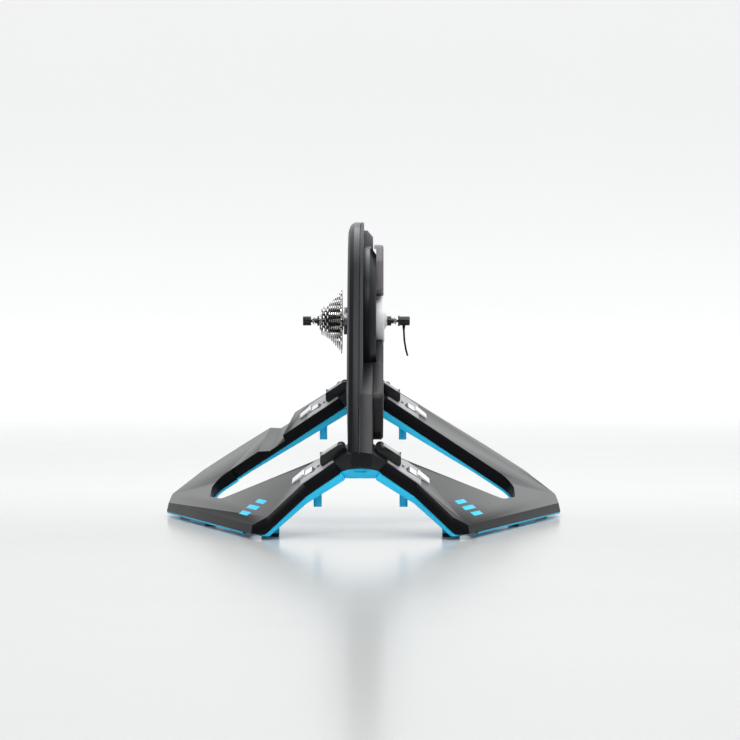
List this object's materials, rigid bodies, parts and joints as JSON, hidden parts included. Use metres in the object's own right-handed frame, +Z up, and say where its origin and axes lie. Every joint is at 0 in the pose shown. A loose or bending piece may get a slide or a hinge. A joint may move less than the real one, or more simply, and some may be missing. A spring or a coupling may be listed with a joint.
{
  "type": "direct drive bike trainer",
  "caption": "Folding direct drive bike trainer with a round motor body, two fold-out wings, cassette and quick release.",
  "frame": {"origin": "on the floor, under the middle of the open trainer", "axes": "+X to the non-drive side, +Y to the rear of the bike, +Z up"},
  "size_m": [0.7462, 0.5825, 0.55],
  "materials": {
    "frame_paint": "satin dark grey paint on a casting",
    "cover_plastic": "matte charcoal moulding",
    "shell_plastic": "satin dark grey moulding",
    "fairing_plastic": "satin grey moulding",
    "blue_paint": "satin light blue paint",
    "bright_steel": "bright machined steel",
    "plain_steel": "plain steel",
    "black_plastic": "black moulding",
    "black_metal": "black anodised metal",
    "rubber": "black rubber",
    "white_plastic": "white moulding",
    "copper": "enamelled copper windings",
    "board": "green circuit board"
  },
  "bodies": {
    "frame": {"frame_casting": "frame_paint", "drive_side_cover": "shell_plastic", "motor_cover": "shell_plastic", "rear_cover": "fairing_plastic", "electronics_housing": "fairing_plastic", "axle_boss": "bright_steel", "axle_tube": "plain_steel", "right_axle_collar": "black_metal", "left_axle_nut": "black_metal", "stator_core": "plain_steel", "coil_ring": "copper", "control_board": "board", "power_inlet": "black_plastic", "front_bridge": "blue_paint", "rear_bridge": "blue_paint", "quick_release_skewer": "black_metal", "right_skewer_spring": "bright_steel", "left_skewer_spring": "bright_steel", "right_front_hinge_pin": "plain_steel", "right_rear_hinge_pin": "plain_steel", "left_front_hinge_pin": "plain_steel", "left_rear_hinge_pin": "plain_steel"},
    "rotor": {"rotor_bell": "plain_steel", "magnet_ring": "plain_steel", "outer_bearing": "bright_steel", "inner_bearing": "bright_steel"},
    "freehub": {"freehub_body": "plain_steel", "large_cog_cluster": "bright_steel", "middle_cog_cluster": "bright_steel", "cog_14": "bright_steel", "cog_13": "bright_steel", "cog_12": "bright_steel", "cog_11": "bright_steel", "cassette_lockring": "black_metal"},
    "release_cam": {"quick_release_lever": "black_metal"},
    "thumb_nut": {"quick_release_nut": "black_metal"},
    "right_wing": {"right_wing_cover": "cover_plastic", "right_wing_frame": "blue_paint", "right_front_latch_plate": "bright_steel", "right_rear_latch_plate": "bright_steel", "right_front_foot": "rubber", "right_outer_foot": "rubber", "right_rear_foot": "rubber"},
    "right_front_strut": {"right_front_lock_strut": "black_metal"},
    "right_front_release": {"right_front_release_lever": "white_plastic"},
    "right_rear_strut": {"right_rear_lock_strut": "black_metal"},
    "right_rear_release": {"right_rear_release_lever": "white_plastic"},
    "left_wing": {"left_wing_cover": "cover_plastic", "left_wing_frame": "blue_paint", "left_front_latch_plate": "bright_steel", "left_rear_latch_plate": "bright_steel", "left_front_foot": "rubber", "left_outer_foot": "rubber", "left_rear_foot": "rubber"},
    "left_front_strut": {"left_front_lock_strut": "black_metal"},
    "left_front_release": {"left_front_release_lever": "white_plastic"},
    "left_rear_strut": {"left_rear_lock_strut": "black_metal"},
    "left_rear_release": {"left_rear_release_lever": "white_plastic"}
  },
  "joints": [
    {"name": "right_wing_fold", "type": "hinge", "parent": "frame", "child": "right_wing", "pos_m": [0.045, 0.0712, 0.2127], "axis": [0, -0.9664, -0.2571], "range_deg": [0, 112]},
    {"name": "right_front_strut_pivot", "type": "hinge", "parent": "frame", "child": "right_front_strut", "pos_m": [0.03356, -0.22449, 0.15339], "axis": [0, -0.9664, -0.2571], "range_deg": [0, 112]},
    {"name": "right_front_release_lift", "type": "hinge", "parent": "right_wing", "child": "right_front_release", "pos_m": [0.0992, -0.19448, 0.1067], "axis": [0, -0.9664, -0.2571], "range_deg": [0, 18], "stiffness_Nm_per_rad": 0.2},
    {"name": "right_rear_strut_pivot", "type": "hinge", "parent": "frame", "child": "right_rear_strut", "pos_m": [0.03356, 0.14524, 0.25177], "axis": [0, -0.9664, -0.2571], "range_deg": [0, 112]},
    {"name": "right_rear_release_lift", "type": "hinge", "parent": "right_wing", "child": "right_rear_release", "pos_m": [0.0992, 0.17526, 0.20508], "axis": [0, -0.9664, -0.2571], "range_deg": [0, 18], "stiffness_Nm_per_rad": 0.2},
    {"name": "left_wing_fold", "type": "hinge", "parent": "frame", "child": "left_wing", "pos_m": [-0.045, 0.0712, 0.2127], "axis": [0, 0.9664, 0.2571], "range_deg": [0, 112]},
    {"name": "left_front_strut_pivot", "type": "hinge", "parent": "frame", "child": "left_front_strut", "pos_m": [-0.03356, -0.22449, 0.15339], "axis": [0, 0.9664, 0.2571], "range_deg": [0, 112]},
    {"name": "left_front_release_lift", "type": "hinge", "parent": "left_wing", "child": "left_front_release", "pos_m": [-0.0992, -0.19448, 0.1067], "axis": [0, 0.9664, 0.2571], "range_deg": [0, 18], "stiffness_Nm_per_rad": 0.2},
    {"name": "left_rear_strut_pivot", "type": "hinge", "parent": "frame", "child": "left_rear_strut", "pos_m": [-0.03356, 0.14524, 0.25177], "axis": [0, 0.9664, 0.2571], "range_deg": [0, 112]},
    {"name": "left_rear_release_lift", "type": "hinge", "parent": "left_wing", "child": "left_rear_release", "pos_m": [-0.0992, 0.17526, 0.20508], "axis": [0, 0.9664, 0.2571], "range_deg": [0, 18], "stiffness_Nm_per_rad": 0.2},
    {"name": "rotor_spin", "type": "hinge", "parent": "frame", "child": "rotor", "pos_m": [0, 0.0712, 0.37], "axis": [1, 0, 0], "continuous": true},
    {"name": "freehub_spin", "type": "hinge", "parent": "frame", "child": "freehub", "pos_m": [0, 0.0712, 0.37], "axis": [1, 0, 0], "continuous": true},
    {"name": "release_cam_turn", "type": "hinge", "parent": "frame", "child": "release_cam", "pos_m": [0.0754, 0.0712, 0.37], "axis": [0, -1, 0], "range_deg": [0, 180]},
    {"name": "thumb_nut_spin", "type": "hinge", "parent": "frame", "child": "thumb_nut", "pos_m": [-0.1013, 0.0712, 0.37], "axis": [1, 0, 0], "continuous": true}
  ],
  "couplings": [
    {"joint": "right_front_strut_pivot", "follows": "right_wing_fold", "ratio": 1},
    {"joint": "right_rear_strut_pivot", "follows": "right_wing_fold", "ratio": 1},
    {"joint": "left_front_strut_pivot", "follows": "left_wing_fold", "ratio": 1},
    {"joint": "left_rear_strut_pivot", "follows": "left_wing_fold", "ratio": 1}
  ]
}
